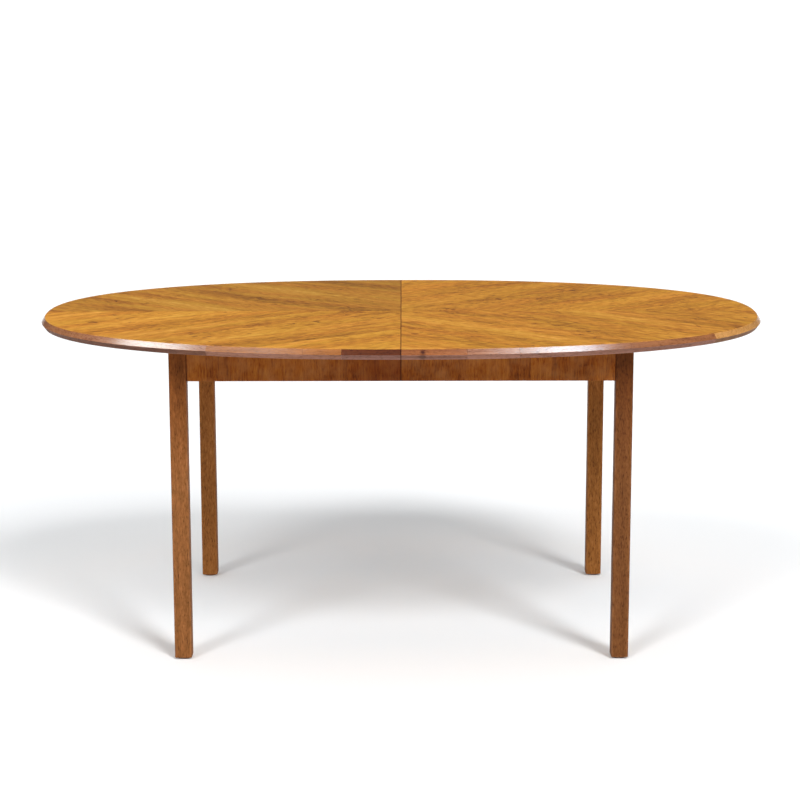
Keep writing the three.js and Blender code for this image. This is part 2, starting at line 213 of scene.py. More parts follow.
def spot(tree, grain, place, reach):
    """One inside an oval spot such as a knot, falling smoothly to nothing at its rim."""
    inside = add_node(
        tree,
        "ShaderNodeMapping",
        {
            "Vector": grain,
            "Scale": (1 / reach[0], 1 / reach[1], 0),
            "Location": (-place[0] / reach[0], -place[1] / reach[1], 0),
        },
    )
    distance = add_node(tree, "ShaderNodeVectorMath", {0: inside}, output="Value", operation="LENGTH")
    return add_node(
        tree,
        "ShaderNodeMapRange",
        {"Value": distance, "From Min": 0, "From Max": 1, "To Min": 1, "To Max": 0},
        interpolation_type="SMOOTHSTEP",
    )


# %% [markdown]
# ## The face veneer
#
# The top is faced in four-way matched teak veneer. Leaves cut one after another from the same log are
# laid as mirror images about the seam and about the table's long axis, with the grain at an angle, so
# that it runs out from the middle like the ribs of a leaf. Mirroring the coordinates in the shader does
# what the cabinet maker does with the leaves, and a small step in the noise's depth stands for the next
# slice of the log. A thin satin lacquer lies over the wood.
#
# Each quarter is laid from strips about 320 mm wide, which differ a little in tone. Near a branch the
# fibres swirl, which bends the streaks and leaves short dark marks. The table is mostly seen from low
# down, where depth is squeezed six times, so the fibres and streaks are drawn seven to nine millimetres
# wide to show at all. The broader ribbons and bands are drawn as wide as they are in the wood.

# %% Veneer colours
VENEER_TONES = [
    (0.0, "#6e3e0a"),
    (0.25, "#9d6318"),
    (0.5, "#c18327"),
    (0.75, "#d49839"),
    (1.0, "#e3ae54"),
]
GREEN_HUE = "#f8f8dc"  # the veneer drifts between these two tints
RED_HUE = "#fff2e8"
# painted shade: the colour darkens towards this tint within this reach of the seam and other crevices
CREVICE_SHADE_TINT = "#806248"
CREVICE_SHADE_REACH = 1.3 * MM


def tinted(tree, amount, colour, tint):
    """The colour multiplied by a tint, by that amount."""
    return add_node(
        tree,
        "ShaderNodeMix",
        {0: amount, 6: colour, 7: tint},
        output=2,
        data_type="RGBA",
        blend_type="MULTIPLY",
    )


def with_crevice_shade(tree, place, colour, crevices):
    """Paints shade into the colour beside upright crevices, which lie at these distances from the seam's
    plane.
    """
    from_seam = add_node(tree, "ShaderNodeSeparateXYZ", {0: place}, output="X")
    from_seam = add_node(tree, "ShaderNodeMath", {0: from_seam}, operation="ABSOLUTE")
    for crevice in crevices:
        gap = add_node(tree, "ShaderNodeMath", {0: from_seam, 1: crevice}, operation="SUBTRACT")
        gap = add_node(tree, "ShaderNodeMath", {0: gap}, operation="ABSOLUTE")
        crevice_shade = add_node(
            tree,
            "ShaderNodeMapRange",
            {"Value": gap, "From Min": CREVICE_SHADE_REACH / 2, "From Max": CREVICE_SHADE_REACH, "To Min": 1, "To Max": 0},
        )
        colour = tinted(tree, crevice_shade, colour, linear(CREVICE_SHADE_TINT))
    return colour


print("veneer tones", len(VENEER_TONES), "dirt reaches", CREVICE_SHADE_REACH / MM, "mm")

# %% Swirling fibres
SWIRLS = [  # place along and across the grain and reach, in millimetres, and how strong each is
    ((85, -48), (120, 55), 1.0),
    ((290, 15), (130, 45), 0.8),
    ((385, -38), (90, 40), 0.7),
    ((532, -5), (110, 50), 0.7),
    ((360, 215), (100, 50), 0.6),
    ((640, -290), (110, 50), 0.6),
]
CURL_REACH = 90 * MM  # how far a swirl pushes the fibres aside
WANDER_REACH = 60 * MM  # how far they drift aside over the whole leaf


def bent_fibres(tree, matched, depth):
    """How far the fibres are pushed aside at each place, and how strong the swirl is there."""
    swirl = 0.0
    for spot_place, reach, strength in SWIRLS:
        one = spot(tree, matched, [v * MM for v in spot_place], [v * MM for v in reach])
        swirl = add_node(tree, "ShaderNodeMath", {0: one, 1: strength, 2: swirl}, operation="MULTIPLY_ADD")
    curl = streaks(tree, matched, 70 * MM, 35 * MM, 3.0, detail=2, depth=depth)
    wander = streaks(tree, matched, 600 * MM, 200 * MM, 6.0, detail=1, depth=depth)
    curled = add_node(tree, "ShaderNodeMath", {0: curl, 1: 0.5}, operation="SUBTRACT")
    curled = add_node(tree, "ShaderNodeMath", {0: curled, 1: swirl}, operation="MULTIPLY")
    bend = layered(tree, 0.0, (wander, WANDER_REACH))
    bend = add_node(
        tree, "ShaderNodeMath", {0: curled, 1: CURL_REACH, 2: bend}, operation="MULTIPLY_ADD"
    )
    return bend, swirl


print("swirls in a leaf", len(SWIRLS))

# %% Strips of one leaf
STRIP_WIDTH = 320 * MM
STRIPS = {  # where the inner strip's joint lies in each quarter, and how light its three strips are
    ("left", "front"): (-0.116, (1.1, 1.02, 1.1)),
    ("left", "back"): (-0.09, (0.86, 0.79, 0.72)),
    ("right", "front"): (-0.165, (0.97, 1.0, 1.06)),
    ("right", "back"): (-0.119, (1.04, 0.98, 1.08)),
}


def laid_strips(tree, matched, joint, strip_tones, bend):
    """Coordinates that start again at each strip's joint, bent with the fibres, and the strip's tone."""
    count = len(strip_tones)
    across = add_node(tree, "ShaderNodeSeparateXYZ", {0: matched}, output="Y")
    outermost = joint - STRIP_WIDTH
    laid = add_node(
        tree,
        "ShaderNodeMapRange",
        {"Value": across, "From Min": outermost, "From Max": outermost + count * STRIP_WIDTH},
        clamp=False,
    )
    stops = [(i / count, [shade] * 3 + [1]) for i, shade in enumerate(strip_tones)]
    tone = add_node(tree, "ShaderNodeValToRGB", {0: laid}, stops=stops)
    tone.node.color_ramp.interpolation = "CONSTANT"
    strip = add_node(tree, "ShaderNodeMath", {0: laid, 1: count}, operation="MULTIPLY")
    strip = add_node(tree, "ShaderNodeMath", {0: strip}, operation="FLOOR")
    shift = add_node(
        tree, "ShaderNodeMath", {0: strip, 1: -STRIP_WIDTH, 2: bend}, operation="MULTIPLY_ADD"
    )
    slide = add_node(tree, "ShaderNodeCombineXYZ", {"Y": shift})
    grain = add_node(tree, "ShaderNodeVectorMath", {0: matched, 1: slide}, operation="ADD")
    return grain, tone


print("quarters", len(STRIPS), "strips of", STRIP_WIDTH / MM, "mm")

# %% Dark marks
MARK_START = 0.68  # how strong the noise is where a dark mark starts
MARK_EASE = 0.1  # how much sooner it starts in a cluster or a swirl
MARK_RANGE = 0.09  # how much stronger the noise is where a mark is full


def dark_marks(tree, matched, grain, swirl, depth):
    """Short dark marks along the grain, closer together in clusters and where the fibres swirl."""
    mark = streaks(tree, grain, 26 * MM, 8 * MM, 37.0, detail=2, depth=depth)
    rare = streaks(tree, matched, 130 * MM, 90 * MM, 41.0, detail=1, depth=depth)
    cluster = add_node(tree, "ShaderNodeMapRange", {"Value": rare, "From Min": 0.5, "From Max": 0.75})
    cluster = add_node(tree, "ShaderNodeMath", {0: cluster, 1: swirl}, operation="ADD")
    limit = add_node(
        tree, "ShaderNodeMath", {0: cluster, 1: -MARK_EASE, 2: MARK_START}, operation="MULTIPLY_ADD"
    )
    over = add_node(tree, "ShaderNodeMath", {0: mark, 1: limit}, operation="SUBTRACT")
    return add_node(tree, "ShaderNodeMapRange", {"Value": over, "From Min": 0, "From Max": MARK_RANGE})


# %% Matched veneer
GRAIN_ANGLE = math.radians(37.5)
SLICE_STEP = 0.4  # how far the noise moves on to the next slice of the log
MARK_DARKNESS = 0.55
SWIRL_DARKNESS = 0.1


def matched_veneer(name, side, face, joint, strip_tones, depth):
    """The veneer of one quarter. Joint is where its inner strip ends, across the grain from the middle."""
    material, tree, shader = new_material(name, Roughness=0.5, IOR=1.45, Specular_IOR_Level=0.2)
    place = add_node(tree, "ShaderNodeTexCoord", output="Object")
    matched = add_node(
        tree,
        "ShaderNodeMapping",
        {"Vector": place, "Scale": (side, face, 1), "Rotation": (0, 0, -GRAIN_ANGLE)},
    )
    bend, swirl = bent_fibres(tree, matched, depth)
    grain, tone = laid_strips(tree, matched, joint, strip_tones, bend)
    band = streaks(tree, grain, 900 * MM, 80 * MM, 11.0, depth=depth)
    ribbon = streaks(tree, grain, 300 * MM, 22 * MM, 17.0, depth=depth)
    streak = streaks(tree, grain, 75 * MM, 9 * MM, 23.0, detail=4, depth=depth)
    fibre = streaks(tree, grain, 24 * MM, 7 * MM, 29.0, detail=4, depth=depth)
    marks = dark_marks(tree, matched, grain, swirl, depth)
    value = layered(tree, 0.5, (band, 1.0), (ribbon, 0.45), (streak, 0.42), (fibre, 1.1))
    for pattern, darkness in ((marks, MARK_DARKNESS), (swirl, SWIRL_DARKNESS)):
        value = add_node(
            tree, "ShaderNodeMath", {0: pattern, 1: -darkness, 2: value}, operation="MULTIPLY_ADD"
        )
    stops = [(at, linear(tint)) for at, tint in VENEER_TONES]
    colour = add_node(tree, "ShaderNodeValToRGB", {0: value}, stops=stops)
    warm = streaks(tree, grain, 240 * MM, 45 * MM, 47.0, detail=2, depth=depth)
    warmth = add_node(tree, "ShaderNodeMapRange", {"Value": warm, "From Min": 0.35, "From Max": 0.65})
    hue = add_node(
        tree,
        "ShaderNodeMix",
        {0: warmth, 6: linear(GREEN_HUE), 7: linear(RED_HUE)},
        output=2,
        data_type="RGBA",
    )
    colour = tinted(tree, 1.0, colour, hue)
    colour = tinted(tree, 1.0, colour, tone)
    # painted shade along the seam between the halves
    colour = with_crevice_shade(tree, place, colour, [0])
    tree.links.new(colour, shader.inputs["Base Color"])
    relief = layered(tree, 0.5, (fibre, 0.6), (marks, -0.5))
    bump = add_node(tree, "ShaderNodeBump", {"Height": relief, "Strength": 0.12, "Distance": 0.4 * MM})
    tree.links.new(bump, shader.inputs["Normal"])
    return material


veneers = {
    (side_name, face_name): matched_veneer(
        f"matched_teak_veneer_{side_name}_{face_name}", SIDES[side_name], FACES[face_name],
        *STRIPS[side_name, face_name], SLICE_STEP * index
    )
    for index, (side_name, face_name) in enumerate(QUARTERS)
}
print("veneers", len(veneers), "nodes in one", len(veneers["left", "front"].node_tree.nodes))

# %% [markdown]
# ## Solid teak
#
# The lipping, legs and runners are solid wood, so the same streaks serve with other sizes and tones. The
# coordinates are turned so that X runs along the board, and teak's pores show as short dark dashes. Wear
# and painted shade come from attributes on the mesh, so that they stay on the faces they belong to. The one
# called worn is one on rounded edges, where years of rubbing have made the colour lighter, and noise breaks
# it up. The other is one under the edge of the top, where shade is painted into the colour and the finish
# is duller. A board may also be tinted along one axis, as a change of tone or as painted shade.

# %% Wear and age
WORN_AMOUNT = 0.5
WORN_PATCH = 30 * MM
SHADE_BELOW_AMOUNT = 0.8
DULL_ROUGHNESS = 0.75


def with_wear(tree, place, colour, wear):
    """Mixes the colour of worn wood in, in patches, where the mesh is worn."""
    rubbed = add_node(tree, "ShaderNodeAttribute", output="Fac", attribute_name="worn")
    patchy = add_node(tree, "ShaderNodeTexNoise", {"Vector": place, "Scale": 1 / WORN_PATCH, "Detail": 3})
    patchy = add_node(tree, "ShaderNodeMapRange", {"Value": patchy, "From Min": 0.4, "From Max": 0.75})
    rubbed = add_node(tree, "ShaderNodeMath", {0: rubbed, 1: patchy}, operation="MULTIPLY")
    rubbed = add_node(tree, "ShaderNodeMath", {0: rubbed, 1: WORN_AMOUNT}, operation="MULTIPLY")
    return add_node(
        tree, "ShaderNodeMix", {0: rubbed, 6: colour, 7: linear(wear)}, output=2, data_type="RGBA"
    )


def with_shade_below(tree, shader, value, colour, shade_below_tones, roughness):
    """Paints shade under the edge: darkens the colour to the given tones, and dulls the gloss, where the
    mesh is marked.
    """
    shade_below = add_node(tree, "ShaderNodeAttribute", output="Fac", attribute_name="shade_below")
    darkened = add_node(tree, "ShaderNodeMath", {0: shade_below, 1: SHADE_BELOW_AMOUNT}, operation="MULTIPLY")
    stops = [(0.2, linear(shade_below_tones[0])), (0.8, linear(shade_below_tones[1]))]
    shade_colour = add_node(tree, "ShaderNodeValToRGB", {0: value}, stops=stops)
    dull = add_node(
        tree, "ShaderNodeMapRange", {"Value": shade_below, "To Min": roughness, "To Max": DULL_ROUGHNESS}
    )
    tree.links.new(dull, shader.inputs["Roughness"])
    return add_node(tree, "ShaderNodeMix", {0: darkened, 6: colour, 7: shade_colour}, output=2, data_type="RGBA")


def faded(tree, place, colour, axis, start, end, tint):
    """Tints the colour more and more along one axis, from one place to another."""
    along = add_node(tree, "ShaderNodeSeparateXYZ", {0: place}, output=axis)
    amount = add_node(tree, "ShaderNodeMapRange", {"Value": along, "From Min": start, "From Max": end})
    return tinted(tree, amount, colour, linear(tint))


print("worn in patches of", round(WORN_PATCH / MM), "mm")

# %% Wood
KNOT_DARKNESS = 0.6


def in_strips(tree, place, value, axis, width, amount, seed):
    """Makes narrow strips side by side, each a little lighter than its neighbours or darker."""
    strip = add_node(tree, "ShaderNodeSeparateXYZ", {0: place}, output=axis)
    strip = add_node(tree, "ShaderNodeMath", {0: strip, 1: width}, operation="DIVIDE")
    strip = add_node(tree, "ShaderNodeMath", {0: strip}, operation="FLOOR")
    strip = add_node(tree, "ShaderNodeMath", {0: strip, 1: seed + 0.5}, operation="ADD")
    shade = add_node(tree, "ShaderNodeTexWhiteNoise", {"W": strip}, noise_dimensions="1D")
    return add_node(tree, "ShaderNodeMath", {0: shade, 1: amount, 2: value}, operation="MULTIPLY_ADD")


def wood(
    name, tones, turn=(0, 0, 0), middle=(0, 0, 0), band=(500, 30), fibre=(45, 2.6), pore=(9, 2.2),
    pore_depth=0.3, contrast=(0.5, 0.5), seed=0.0, knots=(), strips=None, crevices=(0,), wear="#d9a673",
    fade=None, shade_below_tones=None, **finish
):
    """A wood whose grain lies along X once the object's coordinates are moved to middle and turned.

    Band, fibre and pore are streaks by length and width, in millimetres, and so are knots by place and
    reach. Strips are an axis, a width in metres and an amount. A fade is an axis, its start and end in
    metres, and the tint at its end.
    """
    material, tree, shader = new_material(name, **finish)
    place = add_node(tree, "ShaderNodeTexCoord", output="Object")
    moved = add_node(tree, "ShaderNodeVectorMath", {0: place, 1: middle}, operation="SUBTRACT")
    grain = add_node(tree, "ShaderNodeMapping", {"Vector": moved, "Rotation": turn})
    broad = streaks(tree, grain, band[0] * MM, band[1] * MM, seed)
    fine = streaks(tree, grain, fibre[0] * MM, fibre[1] * MM, seed + 4)
    short = streaks(tree, grain, pore[0] * MM, pore[1] * MM, seed + 8, detail=1)
    dash = add_node(tree, "ShaderNodeMapRange", {"Value": short, "From Min": 0.52, "From Max": 0.72})
    value = layered(tree, 0.55, (broad, contrast[0]), (fine, contrast[1]))
    value = add_node(tree, "ShaderNodeMath", {0: dash, 1: -pore_depth, 2: value}, operation="MULTIPLY_ADD")
    if strips:
        value = in_strips(tree, place, value, *strips, seed)
    dark_spot = 0.0
    for spot_place, reach in knots:
        one = spot(tree, grain, [v * MM for v in spot_place], [v * MM for v in reach])
        dark_spot = add_node(tree, "ShaderNodeMath", {0: one, 1: dark_spot}, operation="MAXIMUM")
    if knots:
        value = add_node(
            tree, "ShaderNodeMath", {0: dark_spot, 1: -KNOT_DARKNESS, 2: value}, operation="MULTIPLY_ADD"
        )
    stops = [(i / (len(tones) - 1), linear(tint)) for i, tint in enumerate(tones)]
    colour = add_node(tree, "ShaderNodeValToRGB", {0: value}, stops=stops)
    colour = with_wear(tree, place, colour, wear)
    # painted shade under the edge of the top, and a duller finish there
    if shade_below_tones:
        colour = with_shade_below(tree, shader, value, colour, shade_below_tones, finish["Roughness"])
    if fade:
        colour = faded(tree, place, colour, *fade)
    # painted shade along the seam and beside the crevices given
    colour = with_crevice_shade(tree, place, colour, crevices)
    tree.links.new(colour, shader.inputs["Base Color"])
    relief = layered(tree, 0.5, (fine, 0.6), (dash, -0.6))
    bump = add_node(tree, "ShaderNodeBump", {"Height": relief, "Strength": 0.2, "Distance": 0.4 * MM})
    tree.links.new(bump, shader.inputs["Normal"])
    return material


# %% [markdown]
# ## The legs' wood
#
# The legs are solid teak, planed and rubbed with oil. Oil leaves no film, so the surface is nearly matt
# and the open pores show as dark dashes all over it. Each leg was cut from another board, so each has
# tones of its own, and the back legs' tones are painted lighter, as painted light from behind. All of them
# darken a little towards the top, which is painted shade where the top shades the legs.

# %% Leg woods
UPRIGHT = (0, math.pi / 2, 0)  # turns Z onto X, for grain that stands upright
OILED = {"Roughness": 0.6, "IOR": 1.45, "Specular_IOR_Level": 0.12}
# the back legs' tones are painted lighter, as painted light from behind; the rest are the boards' own tones
LEG_TONES_WITH_PAINTED_BACKLIGHT = {
    ("left", "front"): ["#482710", "#734721", "#8a562d", "#a0693c"],
    ("right", "front"): ["#3b2009", "#61391a", "#764824", "#8a5934"],
    ("left", "back"): ["#532f0f", "#855123", "#a06632", "#b67b47"],
    ("right", "back"): ["#502d0e", "#7f4d20", "#9a622e", "#b07642"],
}
# the fade darkens each leg towards its top: painted shade where the top shades it
leg_woods = {
    (side_name, face_name): wood(
        f"oiled_teak_leg_{side_name}_{face_name}", tones, UPRIGHT, band=(260, 14), fibre=(14, 2.6),
        pore=(7, 2.4), pore_depth=0.28, contrast=(0.6, 1.15), seed=5.0 + 1.7 * index, wear="#a8744e",
        fade=("Z", 0.40, 0.66, "#e4cca4"), **OILED
    )
    for index, ((side_name, face_name), tones) in enumerate(LEG_TONES_WITH_PAINTED_BACKLIGHT.items())
}
print("leg woods", len(leg_woods))

# %% [markdown]
# ## The aprons' veneer
#
# The aprons are faced with narrow strips of straight-grained teak, stood upright side by side and oiled
# like the legs. A strip's number goes through white noise, which gives each one its own shade. Shade is
# painted into the colour at the seam and beside the legs, as a dark line along the crevices. Both left
# aprons have darkened towards the seam.

# %% Apron woods
APRON_TONES = ["#361703", "#6c340c", "#8c4b14", "#a66321"]
APRON_STRIP = 47 * MM
STRIP_CONTRAST = 0.24
APRON_VENEER = {
    "band": (220, 12), "fibre": (26, 2.6), "pore": (12, 2.4), "contrast": (0.6, 1.0), "wear": "#a8703f"
}
# the apron's end beside the leg, where painted shade runs down the crevice
beside_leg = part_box("apron_right_front")[1].x - 0.7 * MM
apron_fades = {"left": ("X", -0.17, -0.06, "#d4c0b4"), "right": None}
apron_woods = {
    side_name: wood(
        f"oiled_teak_apron_veneer_{side_name}", APRON_TONES, UPRIGHT, seed=12.0,
        strips=("X", APRON_STRIP, STRIP_CONTRAST), crevices=(0, beside_leg), fade=apron_fades[side_name],
        **APRON_VENEER, **OILED
    )
    for side_name in SIDES
}
end_apron_wood = wood(
    "oiled_teak_end_apron_veneer", APRON_TONES, UPRIGHT, seed=15.0,
    strips=("Y", APRON_STRIP, STRIP_CONTRAST), **APRON_VENEER, **OILED
)
print("apron woods", len(apron_woods) + 1)

# %% [markdown]
# ## The woods below
#
# Under the top nobody spends finish on the wood. The boards carry a plain backing veneer, and the
# runners, battens, corner blocks and dowels are planed beech: pale, close and even, with tiny flecks in
# place of teak's open pores. Bare wood scatters light, so it is rougher than the oiled parts.

# %% Backing and beech
ACROSS = (0, 0, math.pi / 2)  # turns Y onto X, for grain that runs from front to back
BARE = {"Roughness": 0.7, "IOR": 1.5, "Specular_IOR_Level": 0.3}
BACKING_TONES = ["#8a6238", "#a2774a", "#b58b5c", "#c39d70"]
backing = wood("bare_backing_veneer", BACKING_TONES, band=(900, 40), fibre=(70, 3), seed=21.0, **BARE)

BEECH_TONES = ["#a67c4e", "#bf9562", "#cfa878", "#dbb98c"]
BEECH = {"band": (700, 12), "fibre": (30, 2.4), "pore": (4, 1.6), "contrast": (0.4, 0.5), "wear": "#e6cfa8"}
runner_wood = wood("planed_beech_along", BEECH_TONES, seed=30.0, **BEECH, **BARE)
tie_wood = wood("planed_beech_across", BEECH_TONES, ACROSS, seed=33.0, **BEECH, **BARE)
block_wood = wood("planed_beech_upright", BEECH_TONES, UPRIGHT, seed=36.0, **BEECH, **BARE)
print("materials so far", len(bpy.data.materials))

# %% [markdown]
# ## Metals and plastic
#
# The bolts, nuts and screws are zinc plated: a pale, slightly blue metal with a faint mottle that spreads
# the reflections. The catch is pressed brass gone dull. The glides are a brown moulded plastic with a
# fine grain, scuffed by the floor.

# %% Mottled finishes


def mottled(name, light, dark, size, rough, bump_height, **finish):
    """A metal or plastic whose colour and gloss shift in patches of about that size, in metres."""
    material, tree, shader = new_material(name, **finish)
    place = add_node(tree, "ShaderNodeTexCoord", output="Object")
    patches = add_node(tree, "ShaderNodeTexNoise", {"Vector": place, "Scale": 1 / size, "Detail": 4})
    stops = [(0.3, linear(dark)), (0.7, linear(light))]
    colour = add_node(tree, "ShaderNodeValToRGB", {0: patches}, stops=stops)
    gloss = add_node(
        tree, "ShaderNodeMapRange", {"Value": patches, "To Min": rough[0], "To Max": rough[1]}
    )
    bump = add_node(tree, "ShaderNodeBump", {"Height": patches, "Strength": 0.3, "Distance": bump_height})
    tree.links.new(colour, shader.inputs["Base Color"])
    tree.links.new(gloss, shader.inputs["Roughness"])
    tree.links.new(bump, shader.inputs["Normal"])
    return material


zinc = mottled("zinc_plated_steel", "#c9ccce", "#8f9396", 1.5 * MM, (0.25, 0.45), 0.05 * MM, Metallic=1.0)
brass = mottled("dull_pressed_brass", "#b9975a", "#7c5f30", 4 * MM, (0.3, 0.55), 0.05 * MM, Metallic=1.0)
plastic = mottled("moulded_brown_plastic", "#7a5236", "#5e3d26", 1 * MM, (0.5, 0.75), 0.1 * MM, IOR=1.46)
print("materials", len(bpy.data.materials))

# %% [markdown]
# ## Making pieces
#
# Nothing made by hand has a perfectly sharp edge: a plane or a sheet of abrasive has always taken it off.
# So each piece gets small rounded edges in its mesh. Where the frame's shape is right, its mesh is
# copied, its triangles are merged back into flat faces, and the sharp edges are rounded. Weighted normals
# then keep the big faces flat to the eye.

# %% Piece helpers
SMOOTH_LIMIT = math.radians(38)  # faces that meet at less than this are shaded as one curve


def finished(node, mesh, material, name=None):
    """Makes the piece that stands for a frame node, on the same body, and hides the node."""
    piece = bpy.data.objects.new(name or node + "_fine", mesh)
    bpy.context.scene.collection.objects.link(piece)
    mesh.materials.append(material)
    for polygon in mesh.polygons:
        polygon.use_smooth = True
    mesh.set_sharp_from_angle(angle=SMOOTH_LIMIT)
    flatten = piece.modifiers.new("weighted_normals", "WEIGHTED_NORMAL")
    flatten.keep_sharp = True
    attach(piece, bodies[node])
    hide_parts(node)
    return piece


def skin(bm, rings):
    """Joins rings of points into one closed skin, with a flat face at each end."""
    for ring, following in zip(rings, rings[1:]):
        for i in range(len(ring)):
            j = (i + 1) % len(ring)
            bm.faces.new((ring[i], ring[j], following[j], following[i]))
    bm.faces.new(rings[0])
    bm.faces.new(rings[-1])
    bmesh.ops.recalc_face_normals(bm, faces=bm.faces)


def fine_mesh(bm, name):
    """Turns the worked shape into a mesh of that name."""
    mesh = bpy.data.meshes.new(name)
    bm.to_mesh(mesh)
    bm.free()
    return mesh


def round_edges(bm, edges, width, segments=3):
    """Rounds these edges and marks the new faces as worn."""
    worn = bm.verts.layers.float.get("worn") or bm.verts.layers.float.new("worn")
    made = bmesh.ops.bevel(
        bm,
        geom=list(edges),
        offset=width,
        segments=segments,
        profile=0.5,
        affect="EDGES",
        clamp_overlap=True,
    )
    for face in made["faces"]:
        for vertex in face.verts:
            vertex[worn] = 1.0


def sharp_edges(bm, degrees=40):
    """The edges where two faces meet at more than that many degrees."""
    return [e for e in bm.edges if e.is_manifold and e.calc_face_angle(0) > math.radians(degrees)]


def from_frame(node, material, width):
    """A copy of a frame node with its sharp edges rounded. Ends at the seam are brought up to it."""
    bm = bmesh.new()
    bm.from_mesh(nodes[node].data)
    bmesh.ops.remove_doubles(bm, verts=bm.verts, dist=0.005 * MM)
    bmesh.ops.dissolve_limit(bm, angle_limit=math.radians(1), verts=bm.verts, edges=bm.edges)
    for vertex in bm.verts:
        if abs(abs(vertex.co.x) - seam_half) < 0.01 * MM:
            vertex.co.x = math.copysign(SEAM_CLEARANCE, vertex.co.x)
    round_edges(bm, sharp_edges(bm), width)
    return finished(node, fine_mesh(bm, node + "_fine"), material)


bodies = {n: body for body, members in frame["record"]["behaviour"]["bodies"].items() for n in members}

# %% [markdown]
# ## The oval
#
# The top's outline is a superellipse, a little fuller than an ellipse. One function gives any point of
# it, moved inwards by an inset along the edge's own normal, so bevels and joints keep an even width round
# the curve.

# %% Outline


def oval_point(angle, inset, side):
    """A point on one half's edge. The angle runs from the front seam, below zero, to the back seam."""
    c, s = math.cos(angle), math.sin(angle)
    x = half_length * abs(c) ** (2 / OVAL_POWER)
    y = half_width * math.copysign(abs(s) ** (2 / OVAL_POWER), s)
    nx = (x / half_length) ** (OVAL_POWER - 1) / half_length
    ny = math.copysign((abs(y) / half_width) ** (OVAL_POWER - 1) / half_width, y)
    length = math.hypot(nx, ny)
    return side * (x - inset * nx / length), y - inset * ny / length


def angle_at(x):
    """The angle of the outline's point that lies this far from the seam's plane."""
    return math.acos((x / half_length) ** (OVAL_POWER / 2))


def spread(start, end, count):
    """That many equal steps from start to end, with both ends."""
    return [start + (end - start) * i / count for i in range(count + 1)]


SEAM_ANGLE = angle_at(SEAM_CLEARANCE)
STEPS = 150  # chords in a quarter of the outline, each about 7 mm long
print("edge of one half", round(SEAM_ANGLE, 4), "chords", 2 * STEPS)

# %% [markdown]
# ## Laying the veneer
#
# Each quarter of the face is one sheet. Its outer edge carries on the bevel, and its arris is rounded
# over by half a millimetre, as sanding leaves it, so that the line between face and bevel catches the
# light.

# %% Face veneer leaves
ARRIS = 0.45 * MM
bevel_inset_at_core = BEVEL_RUN * (1 - (table_height - core_top) / BEVEL_DROP)


def veneer_leaf(side_name, face_name):
    """One quarter of the face, kept half a glue line clear of the joint along the table's middle."""
    side, face = SIDES[side_name], FACES[face_name]
    joint = GLUE_LINE / 2
    bm = bmesh.new()
    rings = []
    for inset, z in ((bevel_inset_at_core, core_top), (BEVEL_RUN, table_height)):
        outline = [oval_point(a, inset, side) for a in spread(0, SEAM_ANGLE, STEPS)]
        outline = [(x, max(y, joint)) for x, y in outline] + [(side * SEAM_CLEARANCE, joint)]
        rings.append([bm.verts.new((x, face * y, z)) for x, y in outline])
    skin(bm, rings)
    upper = set(rings[1])
    rim = [e for e in bm.edges if all(v in upper for v in e.verts)]
    outer = [e for e in rim if not all(abs(v.co.y) < 1.5 * joint for v in e.verts)]
    round_edges(bm, outer, ARRIS)
    node = f"face_veneer_{side_name}_{face_name}"
    return finished(node, fine_mesh(bm, node + "_fine"), veneers[side_name, face_name])


for side_name, face_name in QUARTERS:
    veneer_leaf(side_name, face_name)
print("veneer leaves laid")

# %% [markdown]
# ## The edge lipping
#
# The lipping is solid teak, sawn from straight boards and butted end to end round the curve, so each
# length has its own colour and its grain runs straight through it while the edge bends away. Its section
# is two bevels that meet at the widest line. Sweeping that section along the outline makes it. The
# arrises are small arcs.

# %% Lipping section


def fillet(before, corner, after, radius, steps=4):
    """Points that round a corner of a section by an arc of this radius."""
    c = Vector(corner)
    a, b = (Vector(before) - c).normalized(), (Vector(after) - c).normalized()
    half = a.angle(b) / 2
    start, end = c + a * (radius / math.tan(half)), c + b * (radius / math.tan(half))
    centre = c + (a + b).normalized() * (radius / math.sin(half))
    turn = (start - centre).angle_signed(end - centre)
    return [
        centre + Matrix.Rotation(-turn * i / steps, 2) @ (start - centre) for i in range(steps + 1)
    ]


def lipping_section():
    """The lipping's outline as points of (inset, height), with its two arrises rounded."""
    corners = [
        (bevel_inset_at_core, core_top),
        (0, widest_line),
        (UNDERCUT_RUN, underside),
        (LIPPING_WIDTH, underside),
        (LIPPING_WIDTH, core_top),
    ]
    rounded = [Vector(corners[0])]
    rounded += fillet(corners[0], corners[1], corners[2], 0.7 * MM)
    rounded += fillet(corners[1], corners[2], corners[3], 0.9 * MM)
    return rounded + [Vector(corners[3]), Vector(corners[4])]


section = lipping_section()
LOW_ARRIS = range(7, 10)  # the points of the section on the rounding under the edge
print("section points", len(section))

# %% Lipping boards
BOARDS = {  # where each board ends towards the next, in metres from the seam, and its tone
    "left": {
        "front": [0.125, 0.207, 0.414, 0.700],
        "back": [0.655, 0.330, 0.110],
        "tones": ["dark", "tan", "tan", "rose", "pink", "tan", "red", "dark"],
    },
    "right": {
        "front": [0.140, 0.250, 0.689],
        "back": [0.600, 0.290, 0.120],
        "tones": ["red", "rose", "brown", "pale", "tan", "red", "rose"],
    },
}
BOARD_TONES = {
    "dark": ["#210a02", "#4a1e08", "#632f12", "#7a431f"],
    "tan": ["#5c300f", "#8a5122", "#a3662f", "#b67c40"],
    "rose": ["#5a3018", "#855033", "#9f6a48", "#b48260"],
    "pink": ["#5e341c", "#875333", "#a26c48", "#b4835e"],
    "red": ["#421a0a", "#7a4422", "#96592f", "#a96e42"],
    "brown": ["#452310", "#784624", "#935c34", "#a87248"],
    "pale": ["#7e5024", "#aa763c", "#c38e50", "#d4a266"],
}
KNOTS = {  # place and reach of each knot, in millimetres along and across its board
    "right_1": [((-24, 2), (9, 6)), ((-20, -4), (5, 4))],
    "right_3": [((120, 0), (7, 4)), ((190, 3), (5, 4))],
}
